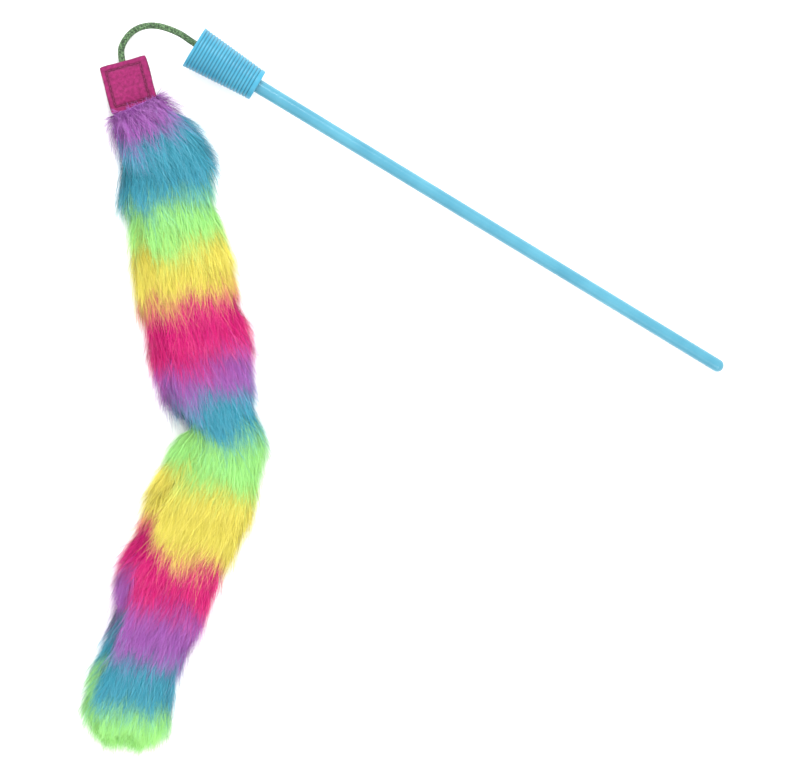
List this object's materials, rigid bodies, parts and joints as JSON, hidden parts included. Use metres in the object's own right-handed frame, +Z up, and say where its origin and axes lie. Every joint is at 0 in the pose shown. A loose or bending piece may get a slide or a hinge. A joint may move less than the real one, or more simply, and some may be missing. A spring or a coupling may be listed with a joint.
{
  "type": "cat teaser wand",
  "caption": "Cat teaser wand: a tapered plastic rod with a ribbed cone, a short braided cord and a long striped fluffy tail sewn on through a square fabric tab.",
  "frame": {"origin": "middle of the laid-out toy's box, on the table that it lies on", "axes": "+Z up from the table; +X in plan along the wand, from the cone towards the rod's tip; +Y in plan from the tail's far end towards the wand"},
  "size_m": [0.3562, 0.3404, 0.024],
  "materials": {
    "wand_plastic": "glossy moulded light blue plastic",
    "cord_braid": "round braided polyester cord, mid green",
    "tab_fabric": "plain woven magenta cloth",
    "tab_thread": "sewing thread",
    "tail_fur": "long combed faux fur in rainbow stripes"
  },
  "bodies": {
    "wand": {"rod": "wand_plastic", "ribbed_cone": "wand_plastic", "cord_knot": "cord_braid"},
    "cord": {"cord": "cord_braid"},
    "tail_1": {"cord_sewn_end": "cord_braid", "tab_front": "tab_fabric", "tab_back": "tab_fabric", "tab_stitching": "tab_thread", "tail_1": "tail_fur"},
    "tail_2": {"tail_2": "tail_fur"},
    "tail_3": {"tail_3": "tail_fur"},
    "tail_4": {"tail_4": "tail_fur"},
    "tail_5": {"tail_5": "tail_fur"},
    "tail_6": {"tail_6": "tail_fur"},
    "tail_7": {"tail_7": "tail_fur"}
  },
  "joints": [
    {"name": "cord_swing", "type": "hinge", "parent": "wand", "child": "cord", "pos_m": [-0.14407, 0.1604, 0.01156], "axis": [0, 0, 1], "range_deg": [-50, 12]},
    {"name": "tab_lift", "type": "hinge", "parent": "cord", "child": "tail_1", "pos_m": [-0.17107, 0.1344, 0.0026], "axis": [-0.682, -0.7314, 0], "range_deg": [0, 60]},
    {"name": "tail_bend_1", "type": "hinge", "parent": "tail_1", "child": "tail_2", "pos_m": [-0.11331, 0.08371, 0.012], "axis": [0, 0, 1], "range_deg": [-25, 14]},
    {"name": "tail_bend_2", "type": "hinge", "parent": "tail_2", "child": "tail_3", "pos_m": [-0.07956, 0.04833, 0.012], "axis": [0, 0, 1], "range_deg": [-25, 14]},
    {"name": "tail_bend_3", "type": "hinge", "parent": "tail_3", "child": "tail_4", "pos_m": [-0.04424, 0.01461, 0.012], "axis": [0, 0, 1], "range_deg": [-25, 14]},
    {"name": "tail_bend_4", "type": "hinge", "parent": "tail_4", "child": "tail_5", "pos_m": [-0.02022, -0.02602, 0.012], "axis": [0, 0, 1], "range_deg": [-25, 14]},
    {"name": "tail_bend_5", "type": "hinge", "parent": "tail_5", "child": "tail_6", "pos_m": [-0.01047, -0.07394, 0.012], "axis": [0, 0, 1], "range_deg": [-25, 14]},
    {"name": "tail_bend_6", "type": "hinge", "parent": "tail_6", "child": "tail_7", "pos_m": [-0.00073, -0.12186, 0.012], "axis": [0, 0, 1], "range_deg": [-25, 14]}
  ]
}
